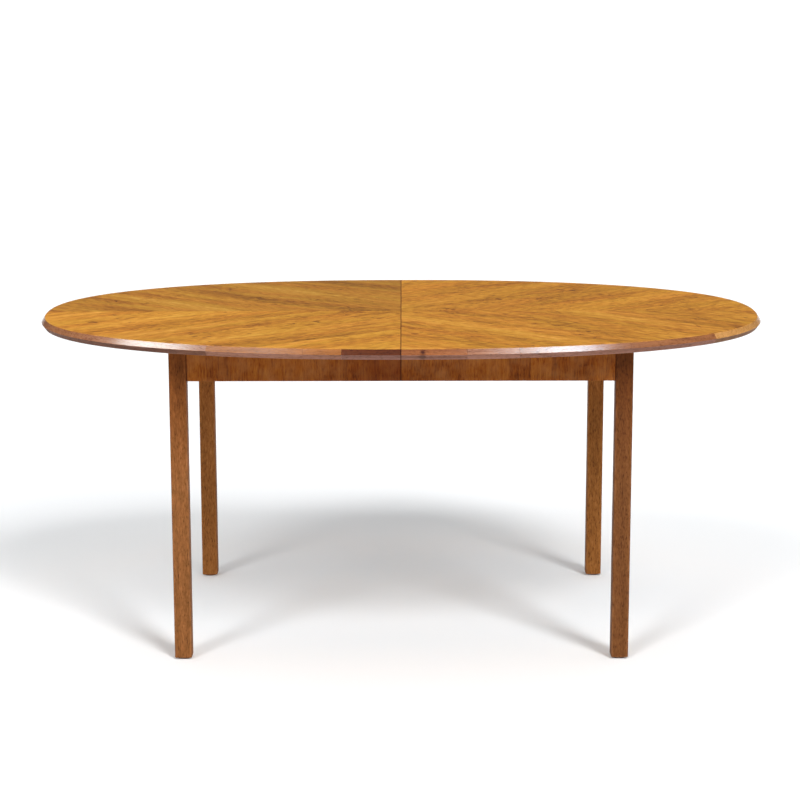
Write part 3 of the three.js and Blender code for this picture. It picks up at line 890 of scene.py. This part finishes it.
DARK_BELOW = {"left_4", "left_5", "right_4"}
SHADE_BELOW_TONES = ("#5e3d2f", "#9c6e60")  # the two tones of painted shade under the edge of the top
DARKER_SHADE_BELOW_TONES = ("#361c12", "#684030")  # darker painted shade on the boards listed in DARK_BELOW
LACQUERED = {"Roughness": 0.22, "IOR": 1.5, "Specular_IOR_Level": 0.36}  # a smooth satin film
END_ANGLE = 0.6  # a board whose middle lies nearer the tip than this stands for the frame's end piece


def lipping_board(side_name, index, start, end, tone):
    """One board, swept between two angles of the outline. Its grain runs straight along its chord."""
    side = SIDES[side_name]
    gap = GLUE_LINE / 2 / half_width
    steps = max(6, round(abs(end - start) / SEAM_ANGLE * STEPS))
    bm = bmesh.new()
    shade_below = bm.verts.layers.float.new("shade_below")
    worn = bm.verts.layers.float.new("worn")
    rows = []
    for angle in spread(start + gap, end - gap, steps):
        row = [bm.verts.new((*oval_point(angle, inset, side), z)) for inset, z in section]
        for i, vertex in enumerate(row):
            on_low_arris = i in LOW_ARRIS
            vertex[worn] = 1.0 if on_low_arris else 0.0
            # the faces under the edge, below the widest line, take painted shade
            vertex[shade_below] = 1.0 if vertex.co.z < widest_line and not on_low_arris else 0.0
        rows.append(row)
    skin(bm, rows)
    name = f"{side_name}_{index + 1}"
    first = Vector(oval_point(start, 0, side))
    last = Vector(oval_point(end, 0, side))
    middle = (first + last) / 2
    heading = math.atan2(last.y - first.y, last.x - first.x)
    board = wood(
        f"satin_teak_lipping_{name}", BOARD_TONES[tone], (0, 0, -heading), (middle.x, middle.y, widest_line),
        band=(260, 9), fibre=(40, 2.2), pore=(9, 1.8), contrast=(0.7, 0.5), seed=2.3 * index + 7 * side,
        knots=KNOTS.get(name, ()), shade_below_tones=DARKER_SHADE_BELOW_TONES if name in DARK_BELOW else SHADE_BELOW_TONES,
        **LACQUERED
    )
    face_name = "front" if start + end < 0 else "back"
    near_tip = abs(start + end) / 2 < END_ANGLE
    node = f"lipping_end_{side_name}" if near_tip else f"lipping_{side_name}_{face_name}"
    return finished(node, fine_mesh(bm, "lipping_" + name), board, "lipping_" + name)


for side_name, plan in BOARDS.items():
    ends = [-SEAM_ANGLE] + [-angle_at(x) for x in plan["front"]]
    ends += [angle_at(x) for x in plan["back"]] + [SEAM_ANGLE]
    for index, (start, end) in enumerate(zip(ends, ends[1:])):
        lipping_board(side_name, index, start, end, plan["tones"][index])
print("lipping boards", sum(len(plan["tones"]) for plan in BOARDS.values()))

# %% [markdown]
# ## The boards under the veneer
#
# Under the veneer each half is a board with a plain backing veneer, which stops it warping. It shows from
# below, and its seam edge shows when the table is pulled open. The frame's own board has long chords, so
# this one follows the fine outline, and takes its dowel holes from the frame's dowels.

# %% Top panels
BORE_CLEARANCE = 0.3 * MM
BORE_OVER = 0.5 * MM  # how far a hole goes on past the dowel's end


def carve(piece, cutter):
    """Cuts the cutter's shape out of a piece for good, and removes the cutter."""
    cut = piece.modifiers.new("cut", "BOOLEAN")
    cut.operation = "DIFFERENCE"
    cut.solver = "EXACT"
    cut.object = cutter
    piece.modifiers.move(len(piece.modifiers) - 1, 0)
    others = [m for m in piece.modifiers if m.name != "cut"]
    for modifier in others:
        modifier.show_viewport = False
    bpy.context.view_layer.update()
    evaluated = piece.evaluated_get(bpy.context.evaluated_depsgraph_get())
    made = bpy.data.meshes.new_from_object(evaluated)
    piece.modifiers.remove(cut)
    for modifier in others:
        modifier.show_viewport = True
    piece.data = made
    bpy.data.objects.remove(cutter)


def pointing(axis):
    """The turn that points Z along this axis."""
    return Vector((0, 0, 1)).rotation_difference(Vector(axis)).to_matrix().to_4x4()


def revolved(name, profile, centre=(0, 0, 0), axis=(0, 0, 1), sides=48):
    """A closed turned mesh from pairs of (radius, height) that start and end on the axis."""
    bm = bmesh.new()
    points = [bm.verts.new((r, 0, z)) for r, z in profile]
    edges = [bm.edges.new(pair) for pair in zip(points, points[1:])]
    bmesh.ops.spin(bm, geom=points + edges, cent=(0, 0, 0), axis=(0, 0, 1), angle=2 * math.pi, steps=sides)
    bmesh.ops.remove_doubles(bm, verts=bm.verts, dist=0.001 * MM)
    bmesh.ops.recalc_face_normals(bm, faces=bm.faces)
    bm.transform(Matrix.Translation(centre) @ pointing(axis))
    return fine_mesh(bm, name)


def loose(mesh):
    """A helper object for cutting, which is removed afterwards."""
    helper = bpy.data.objects.new(mesh.name, mesh)
    bpy.context.scene.collection.objects.link(helper)
    return helper


def top_panel(side_name):
    """The board of one half, inside its lipping, with its dowel holes bored in the seam edge."""
    side = SIDES[side_name]
    angles = spread(-SEAM_ANGLE, SEAM_ANGLE, 2 * STEPS)
    outline = [oval_point(a, LIPPING_WIDTH + GLUE_LINE, side) for a in angles]
    bm = bmesh.new()
    skin(bm, [[bm.verts.new((x, y, z)) for x, y in outline] for z in (underside, core_top)])
    node = f"top_panel_{side_name}"
    piece = finished(node, fine_mesh(bm, node + "_fine"), backing)
    for face_name in FACES:
        dowel_low, dowel_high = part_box(f"seam_dowel_{face_name}")
        centre = (dowel_low + dowel_high) / 2
        radius = (dowel_high.y - dowel_low.y) / 2 + BORE_CLEARANCE
        depth = max(-dowel_low.x, dowel_high.x) + BORE_OVER
        bore = [(0, -1 * MM), (radius, -1 * MM), (radius, depth), (0, depth)]
        carve(piece, loose(revolved("bore", bore, (0, centre.y, centre.z), (side, 0, 0), 32)))
    return piece


for side_name in SIDES:
    top_panel(side_name)
print("panels made")

# %% [markdown]
# ## Legs
#
# The legs are square and straight, with their long edges eased by a plane and their feet rounded so that
# they don't splinter when the table is dragged. Rings of points going up the leg make the shape. A ring
# has an arc at each corner and a spare point just past it, which keeps the rounding from bleeding into
# the flats.

# %% Leg meshes
LEG_EDGE = 3 * MM
FOOT_ROUNDING = 1 * MM
FOOT_WEAR = 2 * MM  # how far above the rounding its wear fades out
WORN_REACH = 1.2 * MM  # how far the wear runs on past an edge
FLAT_REACH = 10 * MM  # the flat for the corner block, along each side of the leg's inner corner


def leg_ring(centre, half, inset, radius):
    """A rounded square as points, with how worn each is: one on the corners, nothing on the flats."""
    points = []
    for corner in range(4):
        start = corner * math.pi / 2
        diagonal = start + math.pi / 4
        cx = centre.x + math.copysign(half - inset - radius, math.cos(diagonal))
        cy = centre.y + math.copysign(half - inset - radius, math.sin(diagonal))
        angles = spread(start, start + math.pi / 2, 6)
        arc = [(cx + radius * math.cos(a), cy + radius * math.sin(a), 1.0) for a in angles]
        reach_x = WORN_REACH * math.sin(start)
        reach_y = WORN_REACH * math.cos(start)
        before = (arc[0][0] + reach_x, arc[0][1] - reach_y, 0.0)
        after = (arc[-1][0] - reach_y, arc[-1][1] - reach_x, 0.0)
        points += [before, *arc, after]
    return points


def corner_flat(side_name, face_name, corner):
    """A three-sided bar that cuts the flat for the corner block off a leg's inner corner."""
    side, face = SIDES[side_name], FACES[face_name]
    block_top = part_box(f"corner_block_{side_name}_{face_name}")[1].z
    spare = 1 * MM
    outline = [(-spare, -spare), (FLAT_REACH + spare, -spare), (-spare, FLAT_REACH + spare)]
    bm = bmesh.new()
    ends = [
        [bm.verts.new((corner.x + side * dx, corner.y + face * dy, z)) for dx, dy in outline]
        for z in (apron_bottom, block_top + 100 * MM)
    ]
    skin(bm, ends)
    return fine_mesh(bm, "corner_flat")


def leg(side_name, face_name):
    """One leg, from its rounded foot to the underside of the top."""
    node = f"leg_{side_name}_{face_name}"
    foot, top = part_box(node)
    centre = (foot + top) / 2
    half = (top.x - foot.x) / 2
    rounding = [(1 - math.cos(a), 1 - math.sin(a)) for a in spread(0, math.pi / 2, 5)]
    levels = [(foot.z + FOOT_ROUNDING * rise, FOOT_ROUNDING * inset, 1.0) for rise, inset in rounding]
    levels += [(z, 0, 0.0) for z in (foot.z + FOOT_ROUNDING + FOOT_WEAR, apron_bottom, top.z)]
    bm = bmesh.new()
    worn = bm.verts.layers.float.new("worn")
    rows = []
    for z, inset, rubbed in levels:
        row = []
        for x, y, corner in leg_ring(centre, half, inset, LEG_EDGE):
            vertex = bm.verts.new((x, y, z))
            vertex[worn] = max(corner, rubbed)
            row.append(vertex)
        rows.append(row)
    skin(bm, rows)
    piece = finished(node, fine_mesh(bm, node + "_fine"), leg_woods[side_name, face_name])
    inner = Vector((centre.x - SIDES[side_name] * half, centre.y - FACES[face_name] * half))
    carve(piece, loose(corner_flat(side_name, face_name, inner)))
    return piece


for side_name, face_name in QUARTERS:
    leg(side_name, face_name)

# %% [markdown]
# ## Aprons, blocks and runners
#
# These are flat planed boards, and the frame's shapes are right, so they are copied with rounded edges.

# %% Flat boards
for side_name in SIDES:
    from_frame(f"apron_end_{side_name}", end_apron_wood, 0.9 * MM)
    from_frame(f"runner_tie_{side_name}", tie_wood, 1.2 * MM)
    for face_name in FACES:
        from_frame(f"apron_{side_name}_{face_name}", apron_woods[side_name], 0.9 * MM)
        from_frame(f"corner_block_{side_name}_{face_name}", block_wood, 1.0 * MM)
for face_name in FACES:
    for place in ("outer", "middle", "inner"):
        from_frame(f"runner_{place}_{face_name}", runner_wood, 0.6 * MM)
from_frame("catch_arm", brass, 0.3 * MM)
print("boards copied")

# %% [markdown]
# ## Turned and threaded pieces
#
# Dowels, glides and screws are turned, so each is a profile spun round its axis. The hanger bolts carry a
# real screw thread: its ridge climbs by one pitch for each turn. The nuts are the frame's own hexagons
# with their edges rounded.

# %% Dowels and glides
DOWEL_TIP = 1 * MM
GLIDE_EDGE = 1 * MM

for face_name in FACES:
    node = f"seam_dowel_{face_name}"
    start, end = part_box(node)
    centre = (start + end) / 2
    radius = (end.y - start.y) / 2
    length = end.x - start.x
    profile = [
        (0, 0),
        (radius - DOWEL_TIP, 0),
        (radius, DOWEL_TIP),
        (radius, length - DOWEL_TIP),
        (radius - DOWEL_TIP, length),
        (0, length),
    ]
    dowel = revolved(node + "_fine", profile, (start.x, centre.y, centre.z), (1, 0, 0))
    finished(node, dowel, runner_wood)

for side_name, face_name in QUARTERS:
    node = f"foot_glide_{side_name}_{face_name}"
    start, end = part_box(node)
    centre = (start + end) / 2
    radius = (end.x - start.x) / 2
    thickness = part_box(f"leg_{side_name}_{face_name}")[0].z
    arc = [
        (radius - GLIDE_EDGE * (1 - math.sin(a)), GLIDE_EDGE * (1 - math.cos(a)))
        for a in spread(0, math.pi / 2, 5)
    ]
    profile = [(0, 0), *arc, (radius, thickness), (0, thickness)]
    glide = revolved(node + "_fine", profile, (centre.x, centre.y, start.z))
    finished(node, glide, plastic)
print("dowels and glides made")

# %% Hanger bolts and nuts
THREAD_PITCH = 1.25 * MM
THREAD_DEPTH = 0.6 * MM
THREAD_SIDES = 28
ROWS_IN_A_TURN = 6
TAPER_LENGTH = 1.5 * MM  # how long the bar's two pointed ends are
TAPER_DEPTH = 0.8 * MM
BOLT_RADIUS = 4 * MM
# The bar lies on the corner's diagonal, so each end stops this far inside its box.
BOLT_SLACK = BOLT_RADIUS / math.sqrt(2)


def threaded(name, start, end, radius):
    """A bar with a screw thread over all its length, from one point to another."""
    along = end - start
    rows = int(along.length / THREAD_PITCH * ROWS_IN_A_TURN)
    bm = bmesh.new()
    rings = []
    for row in range(rows + 1):
        z = along.length * row / rows
        taper = min(1, z / TAPER_LENGTH, (along.length - z) / TAPER_LENGTH)
        ring = []
        for k in range(THREAD_SIDES):
            a = 2 * math.pi * k / THREAD_SIDES
            ridge = abs(((z / THREAD_PITCH - k / THREAD_SIDES) % 1) * 2 - 1)
            r = radius - THREAD_DEPTH * ridge - TAPER_DEPTH * (1 - taper)
            ring.append(bm.verts.new((r * math.cos(a), r * math.sin(a), z)))
        rings.append(ring)
    skin(bm, rings)
    bm.transform(Matrix.Translation(start) @ pointing(along.normalized()))
    return fine_mesh(bm, name)


for side_name, face_name in QUARTERS:
    node = f"leg_bolt_{side_name}_{face_name}"
    start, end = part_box(node)
    height = (start.z + end.z) / 2
    side, face = SIDES[side_name], FACES[face_name]
    near_x, far_x = sorted((abs(start.x), abs(end.x)))
    near_y, far_y = sorted((abs(start.y), abs(end.y)))
    outer = Vector((side * (far_x - BOLT_SLACK), face * (far_y - BOLT_SLACK), height))
    inner = Vector((side * (near_x + BOLT_SLACK), face * (near_y + BOLT_SLACK), height))
    finished(node, threaded(node + "_fine", outer, inner, BOLT_RADIUS), zinc)
    from_frame(f"leg_nut_{side_name}_{face_name}", zinc, 0.5 * MM)
    for index in (1, 2):
        screw = nodes[f"runner_screw_{side_name}_{face_name}_{index}"].data
        screw.materials.clear()
        screw.materials.append(zinc)
print("bolts threaded at", THREAD_PITCH / MM, "mm pitch")

# %% Catch screws
HEAD_HEIGHT = 3 * MM
SHANK_RADIUS = 2.5 * MM
POINT_LENGTH = 4 * MM
SLOT_WIDTH = 1.2 * MM
SLOT_DEPTH = 1.2 * MM
SLOT_TURN = 0.5  # radians from the table's length, one way on each side

for side_name, side in SIDES.items():
    node = f"catch_screw_{side_name}"
    start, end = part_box(node)
    centre = (start + end) / 2
    radius = (end.x - start.x) / 2
    length = end.z - start.z
    dome = [
        (radius * math.sin(a), HEAD_HEIGHT * (1 - math.cos(a))) for a in spread(0, math.pi / 2, 8)
    ]
    shank = [(SHANK_RADIUS, HEAD_HEIGHT), (SHANK_RADIUS, length - POINT_LENGTH), (0, length)]
    screw = revolved(node + "_fine", dome + shank, (centre.x, centre.y, start.z))
    piece = finished(node, screw, brass)
    bm = bmesh.new()
    bmesh.ops.create_cube(bm, size=1)
    bm.transform(
        Matrix.Translation((centre.x, centre.y, start.z))
        @ Matrix.Rotation(SLOT_TURN * side, 4, "Z")
        @ Matrix.Diagonal((3 * radius, SLOT_WIDTH, 2 * SLOT_DEPTH, 1))
    )
    carve(piece, loose(fine_mesh(bm, "slot")))
print("catch screws slotted")

# %% [markdown]
# ## The studio
#
# The table stands on a plain pale floor between two tall soft lights, in front to the left and to the
# right. Each is two sun lamps with a wide disc, one above the other, because parallel light keeps the
# whole floor evenly bright. Each throws a soft shadow back to the other side, and the two meet under the
# table. Two more lamps are seen only in reflections: the bevel mirrors them as long pale highlights, and
# they throw no shadow of their own. The sky is bright overhead and dim in front and near the horizon, so
# that the top, seen at a low angle, mirrors the dim part and keeps its colour. To the camera it is plain
# white. The wood throws warm light on the floor under the table, so the floor is painted a little cooler
# there and its shadow stays grey.

# %% Floor
FLOOR_REACH = 150.0  # metres, far enough that its edge is never seen
FLOOR_COLOUR = (0.895, 0.9, 0.906, 1)
UNDER_TABLE = (0.83, 0.877, 0.917, 1)
COOL_REACH = (1.0, 0.599)  # half of the cool patch's length and width, in metres
COOL_FULL = 0.45  # share of that reach within which it is fully cool
COOL_MIDDLE = 0.102  # how far behind the table's middle it is centred
floor_corners = [(-1, -1), (1, -1), (1, 1), (-1, 1)]
floor_mesh = bpy.data.meshes.new("floor")
floor_mesh.from_pydata(
    [(x * FLOOR_REACH, y * FLOOR_REACH, 0) for x, y in floor_corners], [], [(0, 1, 2, 3)]
)
floor = bpy.data.objects.new("floor", floor_mesh)
bpy.context.scene.collection.objects.link(floor)
floor_paint, floor_tree, floor_shader = new_material(
    "pale_studio_floor", Roughness=0.9, Specular_IOR_Level=0.1,
    Emission_Color=(1, 1, 1, 1), Emission_Strength=0.08,
)
across = add_node(floor_tree, "ShaderNodeTexCoord", output="Object")
from_table = add_node(
    floor_tree,
    "ShaderNodeMapping",
    {
        "Vector": across,
        "Location": (0, -COOL_MIDDLE / COOL_REACH[1], 0),
        "Scale": (1 / COOL_REACH[0], 1 / COOL_REACH[1], 1),
    },
)
away = add_node(floor_tree, "ShaderNodeVectorMath", {0: from_table}, output="Value", operation="LENGTH")
clear = add_node(
    floor_tree,
    "ShaderNodeMapRange",
    {"Value": away, "From Min": COOL_FULL, "From Max": 1.0},
    interpolation_type="SMOOTHSTEP",
)
floor_colour = add_node(
    floor_tree,
    "ShaderNodeMix",
    {0: clear, 6: UNDER_TABLE, 7: FLOOR_COLOUR},
    output=2,
    data_type="RGBA",
)
floor_tree.links.new(floor_colour, floor_shader.inputs["Base Color"])
floor_mesh.materials.append(floor_paint)
print("floor reaches", FLOOR_REACH, "m each way")

# %% Lights


def compass(azimuth, elevation):
    """A direction from degrees: azimuth 0 is in front of the table, and more is towards +X."""
    a, e = math.radians(azimuth), math.radians(elevation)
    return Vector((math.sin(a) * math.cos(e), -math.cos(a) * math.cos(e), math.sin(e)))


def soft_sun(name, azimuth, elevation, disc, strength, colour=(1, 1, 1)):
    """Parallel soft light from that direction, whose disc is that many degrees across."""
    lamp = bpy.data.lights.new(name, "SUN")
    lamp.angle = math.radians(disc)
    lamp.energy = strength
    lamp.color = colour
    light = bpy.data.objects.new(name, lamp)
    light.location = 4 * compass(azimuth, elevation)
    light.rotation_euler = compass(azimuth, elevation).to_track_quat("Z", "Y").to_euler()
    bpy.context.scene.collection.objects.link(light)
    return light


SOFTBOX_AZIMUTH = 31
SOFTBOX_DISC = 15
for elevation in (34, 48):
    for name, strength in (("right", 1.2), ("left", 0.6)):
        azimuth = SOFTBOX_AZIMUTH * SIDES[name]
        soft_sun(f"{name}_softbox_{elevation}", azimuth, elevation, SOFTBOX_DISC, strength)
for side_name, azimuth, elevation, disc, strength, colour in (
    ("right", 44, 53, 12, 1.75, (0.7, 0.86, 1.0)),
    ("left", -73, 44.5, 21, 3.0, (0.85, 0.98, 1.0)),
):
    sheen = soft_sun(f"sheen_{side_name}", azimuth, elevation, disc, strength, colour)
    sheen.visible_diffuse = False

# %% Sky
SKY_OVERHEAD = 0.95
SKY_HORIZON = 0.08
SKY_TINT = (0.94, 0.975, 1, 1)
WHITE = (1, 1, 1, 1)
world = bpy.data.worlds.new("studio_sky")
bpy.context.scene.world = world
world.use_nodes = True
sky = world.node_tree
background = sky.nodes["Background"]
direction = add_node(sky, "ShaderNodeTexCoord", output="Generated")
height = add_node(sky, "ShaderNodeSeparateXYZ", {0: direction}, output="Z")
overhead = add_node(
    sky,
    "ShaderNodeMapRange",
    {"Value": height, "From Min": 0.3, "From Max": 0.85},
    interpolation_type="SMOOTHSTEP",
)
backward = add_node(sky, "ShaderNodeSeparateXYZ", {0: direction}, output="Y")
behind = add_node(sky, "ShaderNodeMapRange", {"Value": backward, "From Min": -0.5, "From Max": -0.1})
lit = add_node(sky, "ShaderNodeMath", {0: overhead, 1: behind}, operation="MULTIPLY")
bright = add_node(
    sky, "ShaderNodeMapRange", {"Value": lit, "To Min": SKY_HORIZON, "To Max": SKY_OVERHEAD}
)
seen = add_node(sky, "ShaderNodeLightPath", output="Is Camera Ray")
strength = add_node(sky, "ShaderNodeMix", {0: seen, 2: bright, 3: 1.0}, data_type="FLOAT")
sky.links.new(strength, background.inputs["Strength"])
tint = add_node(sky, "ShaderNodeMix", {0: seen, 6: SKY_TINT, 7: WHITE}, output=2, data_type="RGBA")
sky.links.new(tint, background.inputs["Color"])
bpy.context.scene.view_settings.view_transform = "Standard"
